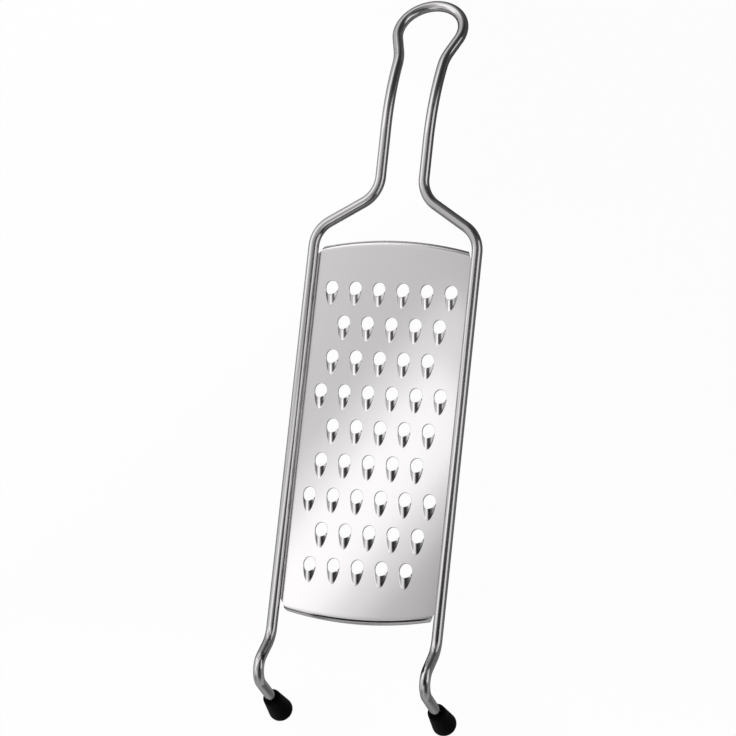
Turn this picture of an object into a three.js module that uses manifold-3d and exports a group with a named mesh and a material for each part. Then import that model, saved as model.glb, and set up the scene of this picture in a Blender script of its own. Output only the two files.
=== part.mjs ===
// Flat coarse grater: a bent wire frame, a pressed grating plate and two rubber feet.
// Sizes are in millimetres. +Y runs to the handle, +Z out of the grating side, the table is Z = 0.
import * as THREE from 'three';
import { mergeVertices } from 'three/addons/utils/BufferGeometryUtils.js';
import Module from 'manifold-3d';

const wasm = await Module();
wasm.setup();
const degree = Math.PI / 180;
const quarterTurn = Math.PI / 2;
const weldTolerance = 1e-4;

// Wire. Spacings and radii of the frame are all taken at the wire's axis.
const wireDiameter = 6;
const wireSides = 12;
const railSpacing = 96;
const turnPerStation = 15 * degree;

// Shoulders, which draw the rails in to the handle
const shoulderMargin = 3.6;
const shoulderSlope = 31.6 * degree;
const railBendRadius = 16.6;
const handleBendRadius = 17.5;

// Handle and hanging loop, with lengths measured along the wire from the handle's lower corners
const handleSpacing = 25.6;
const handleLength = 82.5;
const neckSpacing = 26.9;
const neckBendRadius = 34.8;
const spreadBendRadius = 60;
const loopFlare = 18 * degree;
const loopRadius = 18.95;

// Backward sweep of the handle, which brings the loop down to the table
const sweepStart = 33.7;
const sweepRadius = 105;
const sweepAngle = 26.8 * degree;
const sweepStation = 9;

// Legs, stepped forward over a bowl's rim and then turned back to the table
const legMargin = 10.9;
const legRise = 19.9;
const legAngle = 42.8 * degree;
const legBendRadius = 15;
const footAngle = 71 * degree;
const kneeBendRadius = 9.15;

// Rubber feet
const footLength = 20.8;
const footMouthDiameter = 10;
const footEndDiameter = 13.7;
const footEndRound = 4;
const footRimRound = 0.8;
const footBoreDepth = 13;
const footClearance = 0.3;
const footSides = 20;
const footArcDivisions = 3;

// Grating plate
const sheetThickness = 0.8;
const plateLength = 213.8;
const plateSetback = 1.7;
const weldGap = 0.3;
const plateCrown = 1;
const plateSteps = 8;
const endArcRadius = 208;
const lipBendRadius = 3;
const lipAngle = 75 * degree;
const lipLength = 3;
const cornerReliefRadius = 2.6;
const reliefSides = 16;
const lipArcDivisions = 3;

// Grating teeth. Every third row is a full row, and the two after it are staggered to either side.
const toothRows = 9;
const fullRowTeeth = 6;
const rowPitch = 19.3;
const toothPitch = 14;
const rowStagger = toothPitch / 6;
const rowShifts = [0, rowStagger, -rowStagger];
const patternShift = 1.6;
const mouthWidth = 7;
const mouthLength = 7.9;
const toothLength = 14.1;
const toothRise = 2.2;
const scoopInset = 0.1;
const scoopSides = 12;
const mouthSides = 14;

// Sizes that follow from those above
const wireRadius = wireDiameter / 2;
const railX = railSpacing / 2;
const plateEndY = plateLength / 2;
const weldReach = Math.sqrt((wireRadius + weldGap) ** 2 - plateSetback ** 2);
const plateHalfWidth = railX - weldReach;
const crownRadius = (plateHalfWidth ** 2 + plateCrown ** 2) / (2 * plateCrown);

// Closed triangle mesh with shared corners and without collapsed triangles
function weld(geometry) {
  geometry.deleteAttribute('normal');
  geometry.deleteAttribute('uv');
  const merged = mergeVertices(geometry, weldTolerance);
  const index = merged.getIndex().array;
  const kept = [];
  for (let i = 0; i < index.length; i += 3) {
    const [a, b, c] = [index[i], index[i + 1], index[i + 2]];
    if (a !== b && b !== c && c !== a) {
      kept.push(a, b, c);
    }
  }
  merged.setIndex(kept);
  return merged;
}

function toSolid(geometry) {
  const welded = weld(geometry.clone());
  const vertProperties = new Float32Array(welded.getAttribute('position').array);
  const triVerts = new Uint32Array(welded.getIndex().array);
  return new wasm.Manifold(new wasm.Mesh({ numProp: 3, vertProperties, triVerts }));
}

function fromSolid(solid) {
  const mesh = solid.getMesh();
  const geometry = new THREE.BufferGeometry();
  geometry.setAttribute('position', new THREE.Float32BufferAttribute(mesh.vertProperties, 3));
  geometry.setIndex([...mesh.triVerts]);
  return geometry;
}

// Arc that rounds a corner between its two neighbours, as a row of stations
function roundCorner(before, corner, after, radius) {
  const back = before.clone().sub(corner).normalize();
  const ahead = after.clone().sub(corner).normalize();
  const turn = Math.PI - back.angleTo(ahead);
  const setback = radius * Math.tan(turn / 2);
  const start = corner.clone().addScaledVector(back, setback);
  const middle = back.clone().add(ahead).normalize();
  const centre = corner.clone().addScaledVector(middle, radius / Math.cos(turn / 2));
  const axis = back.clone().negate().cross(ahead).normalize();
  const steps = Math.max(2, Math.ceil(turn / turnPerStation));
  const stations = [];
  for (let i = 0; i <= steps; i += 1) {
    const arm = start.clone().sub(centre).applyAxisAngle(axis, (turn * i) / steps);
    stations.push(centre.clone().add(arm));
  }
  return stations;
}

function roundedPath(corners) {
  const stations = [corners[0].point];
  for (let i = 1; i < corners.length - 1; i += 1) {
    const { point, radius } = corners[i];
    stations.push(...roundCorner(corners[i - 1].point, point, corners[i + 1].point, radius));
  }
  return stations;
}

// Corners of the frame with the handle still flat
const railCornerY = plateEndY + shoulderMargin;
const handleX = handleSpacing / 2;
const neckX = neckSpacing / 2;
const handleCornerY = railCornerY + (railX - handleX) * Math.tan(shoulderSlope);
const sweepStartY = handleCornerY + sweepStart;
const neckY = handleCornerY + handleLength;
const loopCornerX = loopRadius * Math.tan(Math.PI / 4 + loopFlare / 2);
const loopTopY = neckY + (loopCornerX - neckX) / Math.tan(loopFlare);
const legCornerY = -plateEndY - legMargin;
const kneeY = legCornerY - legRise / Math.tan(legAngle);

// Place on the swept handle of a point that lies this far along the flat one
function sweepBack(point) {
  const past = point.y - sweepStartY;
  if (past <= 0) {
    return point;
  }
  const angle = Math.min(past / sweepRadius, sweepAngle);
  const straight = past - angle * sweepRadius;
  const y = sweepStartY + sweepRadius * Math.sin(angle) + straight * Math.cos(angle);
  const z = -sweepRadius * (1 - Math.cos(angle)) - straight * Math.sin(angle);
  return new THREE.Vector3(point.x, y, z);
}

// The feet reach as low as the loop, so the grater stands level on all three
const loopTop = sweepBack(new THREE.Vector3(0, loopTopY, 0));
const standHeight = wireRadius - loopTop.z;
const footDirection = new THREE.Vector3(0, -Math.cos(footAngle), -Math.sin(footAngle));
const footEndRadius = footEndDiameter / 2;
const footFlatRadius = footEndRadius - footEndRound;
const footDrop = legRise + standHeight - footEndRound - footFlatRadius * Math.cos(footAngle);
const footMouthReach = footDrop / Math.sin(footAngle) - footLength + footEndRound;
const wireEndReach = footMouthReach + footBoreDepth - footClearance;

function kneeAt(side) {
  return new THREE.Vector3(side * railX, kneeY, legRise);
}

function halfFrame() {
  const knee = kneeAt(1);
  const wireEnd = knee.clone().addScaledVector(footDirection, wireEndReach);
  const corners = [
    { point: wireEnd },
    { point: knee, radius: kneeBendRadius },
    { point: new THREE.Vector3(railX, legCornerY, 0), radius: legBendRadius },
    { point: new THREE.Vector3(railX, railCornerY, 0), radius: railBendRadius },
    { point: new THREE.Vector3(handleX, handleCornerY, 0), radius: handleBendRadius },
    { point: new THREE.Vector3(handleX, sweepStartY, 0), radius: spreadBendRadius },
    { point: new THREE.Vector3(neckX, neckY, 0), radius: neckBendRadius },
    { point: new THREE.Vector3(loopCornerX, loopTopY, 0), radius: loopRadius },
    { point: new THREE.Vector3(0, loopTopY, 0) },
  ];
  return roundedPath(corners);
}

// Long straight runs inside the sweep need stations of their own to bend
function sweptStations(flat) {
  const stations = [flat[0]];
  for (let i = 1; i < flat.length; i += 1) {
    const [from, to] = [flat[i - 1], flat[i]];
    const inSweep = (from.y + to.y) / 2 > sweepStartY;
    const parts = inSweep ? Math.ceil(from.distanceTo(to) / sweepStation) : 1;
    for (let k = 1; k <= parts; k += 1) {
      stations.push(from.clone().lerp(to, k / parts));
    }
  }
  return stations.map(sweepBack);
}

// Wire path whose stations stay where the bends put them
class StationPath extends THREE.Curve {
  constructor(stations) {
    super();
    this.stations = stations;
  }

  getUtoTmapping(u) {
    return u;
  }

  getPoint(t) {
    return this.stations[Math.round(t * (this.stations.length - 1))].clone();
  }

  getTangent(t) {
    const last = this.stations.length - 1;
    const i = Math.round(t * last);
    const here = this.stations[i];
    const tangent = new THREE.Vector3();
    if (i > 0) {
      tangent.add(here.clone().sub(this.stations[i - 1]).normalize());
    }
    if (i < last) {
      tangent.add(this.stations[i + 1].clone().sub(here).normalize());
    }
    return tangent.normalize();
  }
}

function wireFrame() {
  const right = sweptStations(halfFrame());
  const left = right.slice(0, -1).reverse();
  const mirrored = left.map((p) => new THREE.Vector3(-p.x, p.y, p.z));
  const stations = [...right, ...mirrored];
  const round = new THREE.Shape().absarc(0, 0, wireRadius, 0, 2 * Math.PI);
  return new THREE.ExtrudeGeometry(round, {
    extrudePath: new StationPath(stations),
    steps: stations.length - 1,
    curveSegments: wireSides / 2,
    bevelEnabled: false,
  });
}

// Rubber cap along -Y from its mouth, with a blind bore for the wire
function footCap(side) {
  const profile = new THREE.Path();
  const boreRadius = wireRadius + footClearance;
  const mouthRadius = footMouthDiameter / 2;
  const taper = Math.atan2(footEndRadius - mouthRadius, footLength - footEndRound - footRimRound);
  profile.moveTo(0, -footLength);
  profile.lineTo(footFlatRadius, -footLength);
  profile.absarc(footFlatRadius, footEndRound - footLength, footEndRound, -quarterTurn, taper);
  profile.absarc(mouthRadius - footRimRound, -footRimRound, footRimRound, taper, quarterTurn);
  profile.lineTo(boreRadius, 0);
  profile.lineTo(boreRadius, -footBoreDepth);
  profile.lineTo(0, -footBoreDepth);
  const cap = weld(new THREE.LatheGeometry(profile.getPoints(footArcDivisions), footSides));
  const mouth = kneeAt(side).addScaledVector(footDirection, footMouthReach);
  const down = new THREE.Vector3(0, -1, 0);
  cap.applyQuaternion(new THREE.Quaternion().setFromUnitVectors(down, footDirection));
  cap.translate(mouth.x, mouth.y, mouth.z);
  return cap;
}

// Height of the crowned front face over its side edges
function crownHeight(x) {
  return Math.sqrt(crownRadius ** 2 - x ** 2) - (crownRadius - plateCrown);
}

// How far the curved ends fall back at this distance from the middle
function endFall(x) {
  return endArcRadius - Math.sqrt(endArcRadius ** 2 - x ** 2);
}

// Section along the plate: flat sheet with a lip turned back at each end
function plateSection() {
  const tipRun = lipBendRadius * Math.sin(lipAngle) + lipLength * Math.cos(lipAngle);
  const bendY = plateEndY - tipRun;
  const innerRadius = lipBendRadius - sheetThickness;
  const up = quarterTurn;
  const lipTip = (side, radius) => new THREE.Vector2(
    side * (bendY + radius * Math.sin(lipAngle) + lipLength * Math.cos(lipAngle)),
    -lipBendRadius + radius * Math.cos(lipAngle) - lipLength * Math.sin(lipAngle),
  );
  const lowerBack = lipTip(-1, innerRadius);
  const lowerFront = lipTip(-1, lipBendRadius);
  const upperFront = lipTip(1, lipBendRadius);
  const upperBack = lipTip(1, innerRadius);
  const section = new THREE.Shape();
  section.moveTo(lowerBack.x, lowerBack.y);
  section.lineTo(lowerFront.x, lowerFront.y);
  section.absarc(-bendY, -lipBendRadius, lipBendRadius, up + lipAngle, up, true);
  section.absarc(bendY, -lipBendRadius, lipBendRadius, up, up - lipAngle, true);
  section.lineTo(upperFront.x, upperFront.y);
  section.lineTo(upperBack.x, upperBack.y);
  section.absarc(bendY, -lipBendRadius, innerRadius, up - lipAngle, up, false);
  section.absarc(-bendY, -lipBendRadius, innerRadius, up, up + lipAngle, false);
  return section;
}

function plateBlank() {
  const blank = new THREE.ExtrudeGeometry(plateSection(), {
    depth: 2 * plateHalfWidth,
    steps: plateSteps,
    curveSegments: lipArcDivisions,
    bevelEnabled: false,
  });
  blank.translate(0, 0, -plateHalfWidth);
  const turned = new THREE.Matrix4().set(0, 0, 1, 0, 1, 0, 0, 0, 0, 1, 0, 0, 0, 0, 0, 1);
  blank.applyMatrix4(turned);
  const position = blank.getAttribute('position');
  for (let i = 0; i < position.count; i += 1) {
    const x = position.getX(i);
    const y = position.getY(i);
    position.setY(i, y - Math.sign(y) * endFall(x));
    position.setZ(i, position.getZ(i) + crownHeight(x));
  }
  return blank;
}

// Upright cutter that takes the sheet's corners off beside the lips
function cornerRelief(sideX, sideY) {
  const height = 4 * (lipBendRadius + lipLength);
  const cutter = new THREE.CylinderGeometry(cornerReliefRadius, cornerReliefRadius, height, reliefSides);
  cutter.rotateX(quarterTurn);
  cutter.translate(sideX * plateHalfWidth, sideY * (plateEndY - endFall(plateHalfWidth)), 0);
  return cutter;
}

// One tooth around its hole's centre on the front face: a round scoop rises from a point to the mouth
const mouthTop = mouthWidth / 2;
const tipY = mouthTop - toothLength;
const ridgeAngle = Math.atan2(toothRise, toothLength - mouthLength);
const scoopRadius = mouthWidth / 2 - scoopInset;

function scoopRod(radius) {
  const overrun = scoopRadius;
  const length = scoopRadius / Math.tan(ridgeAngle) + overrun;
  const rod = new THREE.CylinderGeometry(radius, radius, length, scoopSides);
  rod.translate(0, length / 2 - overrun, 0);
  rod.translate(0, 0, -scoopRadius);
  rod.rotateX(ridgeAngle);
  rod.translate(0, tipY, 0);
  return rod;
}

function mouthCutter() {
  const height = 4 * (toothRise + sheetThickness);
  const cutter = new THREE.CylinderGeometry(1, 1, height, mouthSides);
  cutter.rotateX(quarterTurn);
  cutter.scale(mouthWidth / 2, mouthLength / 2, 1);
  cutter.translate(0, mouthTop - mouthLength / 2, 0);
  return cutter;
}

function belowSheet() {
  const depth = 4 * scoopRadius;
  const block = new THREE.BoxGeometry(4 * mouthWidth, 4 * toothLength, depth);
  block.translate(0, 0, -depth / 2 - sheetThickness / 2);
  return block;
}

function toothPlaces() {
  const places = [];
  for (let row = 0; row < toothRows; row += 1) {
    const shift = rowShifts[row % rowShifts.length];
    const count = shift === 0 ? fullRowTeeth : fullRowTeeth - 1;
    const y = patternShift + ((toothRows - 1) / 2 - row) * rowPitch;
    for (let i = 0; i < count; i += 1) {
      const x = (i - (count - 1) / 2) * toothPitch + shift;
      const lean = new THREE.Matrix4().makeRotationY(Math.asin(x / crownRadius));
      places.push(lean.setPosition(x, y, crownHeight(x)));
    }
  }
  return places;
}

function gratingPlate() {
  let sheet = toSolid(plateBlank());
  for (const sideX of [-1, 1]) {
    for (const sideY of [-1, 1]) {
      sheet = sheet.subtract(toSolid(cornerRelief(sideX, sideY)));
    }
  }
  const scoop = fromSolid(toSolid(scoopRod(scoopRadius)).subtract(toSolid(belowSheet())));
  const hollow = weld(scoopRod(scoopRadius - sheetThickness));
  const mouth = weld(mouthCutter());
  for (const place of toothPlaces()) {
    sheet = sheet.add(toSolid(scoop.clone().applyMatrix4(place)));
    sheet = sheet.subtract(toSolid(hollow.clone().applyMatrix4(place)));
    sheet = sheet.subtract(toSolid(mouth.clone().applyMatrix4(place)));
  }
  return fromSolid(sheet).translate(0, 0, -plateSetback);
}

function piece(name, geometry, look) {
  const mesh = new THREE.Mesh(weld(geometry), new THREE.MeshStandardMaterial(look));
  mesh.name = name;
  return mesh;
}

const polishedSteel = { color: 0xd2d4d7, roughness: 0.12, metalness: 1 };
const satinSteel = { color: 0xc9cbcd, roughness: 0.38, metalness: 1 };
const blackRubber = { color: 0x19191a, roughness: 0.8, metalness: 0 };

const grater = new THREE.Group();
grater.name = 'coarse_grater';
grater.add(
  piece('wire_frame', wireFrame(), polishedSteel),
  piece('grating_plate', gratingPlate(), satinSteel),
  piece('foot_cap_left', footCap(-1), blackRubber),
  piece('foot_cap_right', footCap(1), blackRubber),
);

// The origin is under the middle of the whole grater, on the table
const box = new THREE.Box3().setFromObject(grater);
const middle = box.getCenter(new THREE.Vector3());
for (const mesh of grater.children) {
  mesh.geometry.translate(-middle.x, -middle.y, -box.min.z);
}

export default grater;
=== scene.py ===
import math

import bpy
from bpy.props import FloatProperty, FloatVectorProperty, IntProperty, PointerProperty
from bpy.types import Operator, Panel, PropertyGroup
from mathutils import Matrix, Quaternion, Vector


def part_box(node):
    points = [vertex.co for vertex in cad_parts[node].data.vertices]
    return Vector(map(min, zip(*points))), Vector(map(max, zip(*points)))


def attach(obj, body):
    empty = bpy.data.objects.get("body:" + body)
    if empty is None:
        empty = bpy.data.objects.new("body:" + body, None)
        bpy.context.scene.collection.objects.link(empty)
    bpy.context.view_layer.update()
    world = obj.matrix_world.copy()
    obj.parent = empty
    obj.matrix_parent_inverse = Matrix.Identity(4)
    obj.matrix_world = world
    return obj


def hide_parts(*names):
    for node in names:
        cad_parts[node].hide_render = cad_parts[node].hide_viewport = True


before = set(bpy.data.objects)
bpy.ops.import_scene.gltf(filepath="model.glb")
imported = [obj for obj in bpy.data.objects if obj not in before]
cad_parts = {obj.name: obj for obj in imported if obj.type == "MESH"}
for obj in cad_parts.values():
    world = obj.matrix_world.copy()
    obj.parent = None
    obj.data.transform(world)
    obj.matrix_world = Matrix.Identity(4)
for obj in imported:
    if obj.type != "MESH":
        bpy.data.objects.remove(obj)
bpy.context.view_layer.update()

bl_info = {
    "name": "Coarse Grater",
    "version": (1, 0, 0),
    "blender": (4, 5, 0),
    "location": "3D View > Sidebar > Grater",
    "description": "Dresses the packed frame of a flat coarse grater for a studio picture",
    "category": "Object",
}

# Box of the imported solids, and the plate's place in it
PLATE_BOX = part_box("grating_plate")
PLATE_MIDDLE_Y = (PLATE_BOX[0].y + PLATE_BOX[1].y) / 2
PLATE_END_Y = (PLATE_BOX[1].y - PLATE_BOX[0].y) / 2
QUARTER_TURN = math.pi / 2
WHITE = (1, 1, 1, 1)


def size(name, description, default):
    """A length that a user would change, in metres."""
    return FloatProperty(name=name, description=description, default=default, min=0.0,
                         precision=5, unit="LENGTH")


def turn(name, description, degrees):
    """An angle that a user would change."""
    return FloatProperty(name=name, description=description, default=math.radians(degrees),
                         subtype="ANGLE")


def share(name, description, default):
    """A plain number from 0 to 1."""
    return FloatProperty(name=name, description=description, default=default, min=0.0, max=1.0)


def tint(name, description, default):
    """A colour that a user would change."""
    return FloatVectorProperty(name=name, description=description, default=default, size=3,
                               min=0.0, max=1.0, subtype="COLOR")


def count(name, description, default):
    """A whole number that a user would change."""
    return IntProperty(name=name, description=description, default=default, min=1)


class GraterWire(PropertyGroup):
    """Sizes of the bent wire, taken at the wire's axis"""

    diameter: size("Wire Diameter", "Thickness of the round wire", 0.00599)
    rail_spacing: size("Rail Spacing", "Distance between the two side rails", 0.096)
    shoulder_margin: size("Shoulder Margin", "From the plate's end to the shoulder corner", 0.0036)
    shoulder_slope: turn("Shoulder Slope", "Rise of the shoulders to the handle", 31.6)
    rail_bend: size("Rail Bend", "Radius from the rails into the shoulders", 0.0166)
    handle_bend: size("Handle Bend", "Radius from the shoulders into the handle", 0.0175)
    handle_spacing: size("Handle Spacing", "Distance between the handle's wires", 0.0256)
    handle_length: size("Handle Length", "From the handle's corners to its neck", 0.0825)
    neck_spacing: size("Neck Spacing", "Distance between the wires at the neck", 0.0269)
    neck_bend: size("Neck Bend", "Radius of the neck", 0.0348)
    spread_bend: size("Spread Bend", "Radius where the handle's wires start to spread", 0.06)
    loop_flare: turn("Loop Flare", "Spread of the wires above the neck", 18.0)
    loop_radius: size("Loop Radius", "Radius of the hanging loop", 0.01895)
    sweep_start: size("Sweep Start", "From the handle's corners to its backward sweep", 0.0337)
    sweep_radius: size("Sweep Radius", "Radius of the backward sweep", 0.105)
    sweep_angle: turn("Sweep Angle", "Angle of the backward sweep", 26.8)
    leg_margin: size("Leg Margin", "From the plate's end to the leg's first corner", 0.0109)
    leg_rise: size("Leg Rise", "How far the leg's knee stands in front of the rails", 0.0199)
    leg_angle: turn("Leg Angle", "Forward slope of the leg", 42.8)
    leg_bend: size("Leg Bend", "Radius from the rail into the leg", 0.015)
    foot_angle: turn("Foot Angle", "Backward slope of the foot", 71.0)
    knee_bend: size("Knee Bend", "Radius of the leg's knee", 0.00915)
    sides: count("Sides", "Faces around the wire", 40)


class GraterPlate(PropertyGroup):
    """Sizes of the pressed plate and its teeth"""

    thickness: size("Sheet Thickness", "Thickness of the sheet", 0.0008)
    setback: size("Setback", "How far the plate's front edge lies behind the wire's axis", 0.0017)
    crown: size("Crown", "How far the plate bulges in its middle", 0.001)
    end_radius: size("End Radius", "Radius of the plate's curved ends", 0.208)
    lip_bend: size("Lip Bend", "Outer radius of the turned-back lips", 0.003)
    lip_angle: turn("Lip Angle", "How far the lips are turned back", 75.0)
    lip_length: size("Lip Length", "Straight part of the lips", 0.0016)
    lip_taper: share("Lip Taper", "How far the lips' ends lean in for each length they drop", 0.55)
    lip_fade: share("Lip Fade", "How much shorter the lips are at their ends", 0.6)
    relief_radius: size("Corner Relief", "Radius cut from the sheet's corners", 0.0022)
    relief_inset: size("Relief Inset", "How far the relief's centre lies inside the end", 0.0022)
    rows: count("Rows", "Rows of teeth", 9)
    full_row: count("Full Row", "Teeth in every third row", 6)
    row_pitch: size("Row Pitch", "Distance between rows", 0.0193)
    tooth_pitch: size("Tooth Pitch", "Distance between teeth in a row", 0.014)
    pattern_shift: size("Pattern Shift", "How far the rows sit towards the handle", 0.0016)
    mouth_width: size("Mouth Width", "Width of each hole", 0.0072)
    mouth_length: size("Mouth Length", "Length of each hole", 0.00805)
    mouth_top: size("Mouth Top", "From the row's line to the hole's top", 0.00365)
    rim_round: size("Rim Round", "Rounding of the hole's rim", 0.00025)
    tooth_length: size("Tooth Length", "From the hole's top to the scoop's point", 0.01425)
    tooth_rise: size("Tooth Rise", "Height of the scoop's cutting edge", 0.0019)
    tooth_spread: share("Tooth Spread", "Half width of a scoop at one metre from its point", 0.0310)


class GraterFeet(PropertyGroup):
    """Sizes of the rubber feet"""

    length: size("Foot Length", "Length of the cap", 0.0208)
    mouth_diameter: size("Mouth Diameter", "Diameter at the wire", 0.010)
    end_diameter: size("End Diameter", "Diameter at the end", 0.01364)
    end_round: size("End Round", "Rounding of the end", 0.004)
    rim_round: size("Rim Round", "Rounding of the mouth's rim", 0.0008)
    bore_depth: size("Bore Depth", "How deep the wire sits", 0.013)
    sides: count("Sides", "Faces around the cap", 72)


class GraterFinish(PropertyGroup):
    """Colours and gloss of the three materials"""

    wire_tint: tint("Wire Colour", "Colour of the polished wire", (0.512, 0.499, 0.502))
    wire_roughness: share("Wire Roughness", "Roughness of the polished wire", 0.14)
    plate_tint: tint("Plate Colour", "Colour of the satin plate", (0.637, 0.62, 0.625))
    plate_roughness: share("Plate Roughness", "Roughness of the satin plate", 0.20)
    rubber_tint: tint("Rubber Colour", "Colour of the feet", (0.0025, 0.0023, 0.0023))
    rubber_roughness: share("Rubber Roughness", "Roughness of the feet", 0.55)


class GraterStage(PropertyGroup):
    """Camera, floor and studio light"""

    camera_place: FloatVectorProperty(name="Camera Place", description="Where the camera stands",
                                      default=(0.65734, -0.28442, 1.82001), subtype="XYZ")
    camera_aim: FloatVectorProperty(name="Camera Aim", description="What the camera looks at",
                                    default=(-0.00820, -0.01015, 0.03166), subtype="XYZ")
    camera_roll: turn("Camera Roll", "Turn of the picture about the view axis", -6.135)
    lens: FloatProperty(name="Lens", description="Focal length in millimetres", default=171.196)
    floor_size: size("Floor Size", "Edge of the pale floor", 8.0)
    floor_glow: share("Floor Glow", "How much of the floor's white is free of shadow", 0.978)
    floor_mirror: share("Floor Mirror", "How much of the floor's white shows in metal", 0.08)


# Step along the wire in its bends, steps between stations on its straight runs, and the shortest run
WIRE_STEP = 0.0008
STRAIGHT_STEPS = 2
SHORTEST_RUN = 0.01
# Angles over which an edge stays sharp
CREASE = math.radians(50)
PLATE_CREASE = math.radians(48)


def unit(vector):
    """The vector's direction."""
    return vector / vector.length


class WireLayout:
    """Corners of the bent wire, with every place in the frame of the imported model."""

    def __init__(self, wire, feet):
        self.wire = wire
        self.radius = wire.diameter / 2
        self.rail_x = wire.rail_spacing / 2
        rail_y = PLATE_END_Y + wire.shoulder_margin
        handle_x = wire.handle_spacing / 2
        neck_x = wire.neck_spacing / 2
        handle_y = rail_y + (self.rail_x - handle_x) * math.tan(wire.shoulder_slope)
        self.sweep_y = handle_y + wire.sweep_start
        neck_y = handle_y + wire.handle_length
        loop_x = wire.loop_radius * math.tan(QUARTER_TURN / 2 + wire.loop_flare / 2)
        loop_y = neck_y + (loop_x - neck_x) / math.tan(wire.loop_flare)
        leg_y = -PLATE_END_Y - wire.leg_margin
        knee_y = leg_y - wire.leg_rise / math.tan(wire.leg_angle)
        self.stand = self.radius - self.swept(Vector((0, loop_y, 0))).z
        self.foot_way = Vector((0, -math.cos(wire.foot_angle), -math.sin(wire.foot_angle)))
        flat = feet.end_diameter / 2 - feet.end_round
        drop = wire.leg_rise + self.stand - feet.end_round - flat * math.cos(wire.foot_angle)
        self.mouth_reach = drop / math.sin(wire.foot_angle) - feet.length + feet.end_round
        self.knee = Vector((self.rail_x, knee_y, wire.leg_rise))
        wire_end = self.knee + self.foot_way * (self.mouth_reach + feet.bore_depth)
        self.corners = [
            (wire_end, 0),
            (self.knee, wire.knee_bend),
            (Vector((self.rail_x, leg_y, 0)), wire.leg_bend),
            (Vector((self.rail_x, rail_y, 0)), wire.rail_bend),
            (Vector((handle_x, handle_y, 0)), wire.handle_bend),
            (Vector((handle_x, self.sweep_y, 0)), wire.spread_bend),
            (Vector((neck_x, neck_y, 0)), wire.neck_bend),
            (Vector((loop_x, loop_y, 0)), wire.loop_radius),
            (Vector((0, loop_y, 0)), 0),
        ]

    def swept(self, point):
        """Place on the swept handle of a point of the flat one."""
        past = point.y - self.sweep_y
        if past <= 0:
            return point
        radius = self.wire.sweep_radius
        angle = min(past / radius, self.wire.sweep_angle)
        straight = past - angle * radius
        y = self.sweep_y + radius * math.sin(angle) + straight * math.cos(angle)
        z = -radius * (1 - math.cos(angle)) - straight * math.sin(angle)
        return Vector((point.x, y, z))

    def placed(self, point):
        """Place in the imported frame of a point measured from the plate's middle."""
        return point + Vector((0, PLATE_MIDDLE_Y, self.stand))

    def path(self):
        """Stations along the whole wire, from the right foot over the loop to the left one."""
        flat = [self.corners[0][0]]
        for before, (corner, radius), after in zip(self.corners, self.corners[1:], self.corners[2:]):
            flat += rounded_corner(before[0], corner, after[0], radius)
        right = [flat[0]]
        for start, end in zip(flat, flat[1:]):
            run = (end - start).length
            if run < WIRE_STEP * SHORTEST_RUN:
                continue
            parts = max(1, round(run / (WIRE_STEP * STRAIGHT_STEPS)))
            right += [start.lerp(end, i / parts) for i in range(1, parts + 1)]
        right = [self.placed(self.swept(point)) for point in right]
        left = [Vector((-point.x, point.y, point.z)) for point in reversed(right[:-1])]
        return right + left


def rounded_corner(before, corner, after, radius):
    """Arc between the two straight runs that meet at a corner."""
    back = unit(before - corner)
    ahead = unit(after - corner)
    bend = math.pi - back.angle(ahead)
    start = corner + back * radius * math.tan(bend / 2)
    centre = corner + unit(back + ahead) * radius / math.cos(bend / 2)
    axis = unit((-back).cross(ahead))
    steps = max(2, math.ceil(bend * radius / WIRE_STEP))
    arm = start - centre
    return [centre + Quaternion(axis, bend * i / steps) @ arm for i in range(steps + 1)]


def new_object(name, points, faces=(), edges=()):
    """Mesh object at the origin."""
    mesh = bpy.data.meshes.new(name)
    mesh.from_pydata([tuple(point) for point in points], list(edges), list(faces))
    mesh.update()
    thing = bpy.data.objects.new(name, mesh)
    bpy.context.scene.collection.objects.link(thing)
    return thing


def smoothed(mesh, crease):
    """Shades a mesh smooth, apart from its sharp edges."""
    mesh.shade_smooth()
    mesh.set_sharp_from_angle(angle=crease)


def settle(thing, name, crease):
    """Turns what the modifiers give into a plain mesh of its own."""
    depsgraph = bpy.context.evaluated_depsgraph_get()
    mesh = bpy.data.meshes.new_from_object(thing.evaluated_get(depsgraph), depsgraph=depsgraph)
    thing.modifiers.clear()
    old = thing.data
    thing.data = mesh
    bpy.data.meshes.remove(old)
    mesh.name = name
    smoothed(mesh, crease)


def carry(thing, node):
    """The piece stands for its solid, which is hidden, and hangs from the root body."""
    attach(thing, "root")
    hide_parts(node)


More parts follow.
